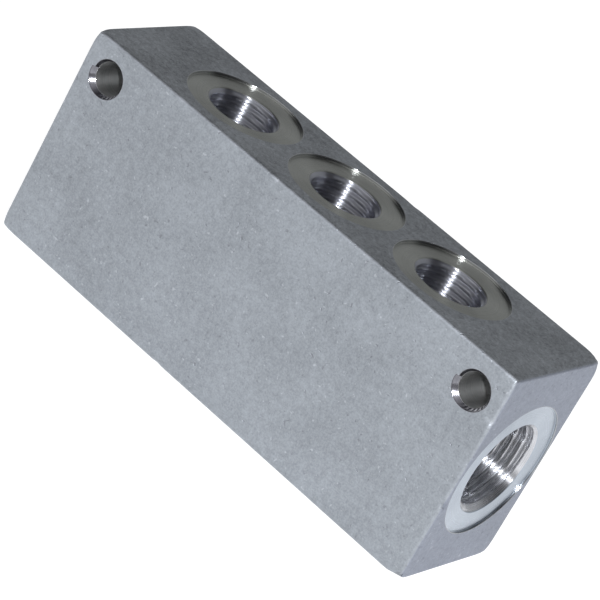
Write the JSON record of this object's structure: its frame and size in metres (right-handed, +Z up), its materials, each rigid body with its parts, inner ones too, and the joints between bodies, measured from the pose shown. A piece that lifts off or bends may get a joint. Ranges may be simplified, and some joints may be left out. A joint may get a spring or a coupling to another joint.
{
  "type": "air manifold block",
  "caption": "Drilled aluminium bar that splits compressed air: threaded inlet in each end, threaded outlets in a row along one edge face, plain fixing holes through the sides.",
  "frame": {"origin": "middle of the narrow plain face that the block stands on", "axes": "+X along the bar, through both inlets; +Y across the bar, along the fixing holes; +Z up, out of the outlets"},
  "size_m": [0.072, 0.02, 0.03],
  "materials": {
    "tumbled_aluminium": "tumbled matte, with machined flats and threads"
  },
  "bodies": {
    "root": {"manifold_block": "tumbled_aluminium"}
  },
  "joints": []
}
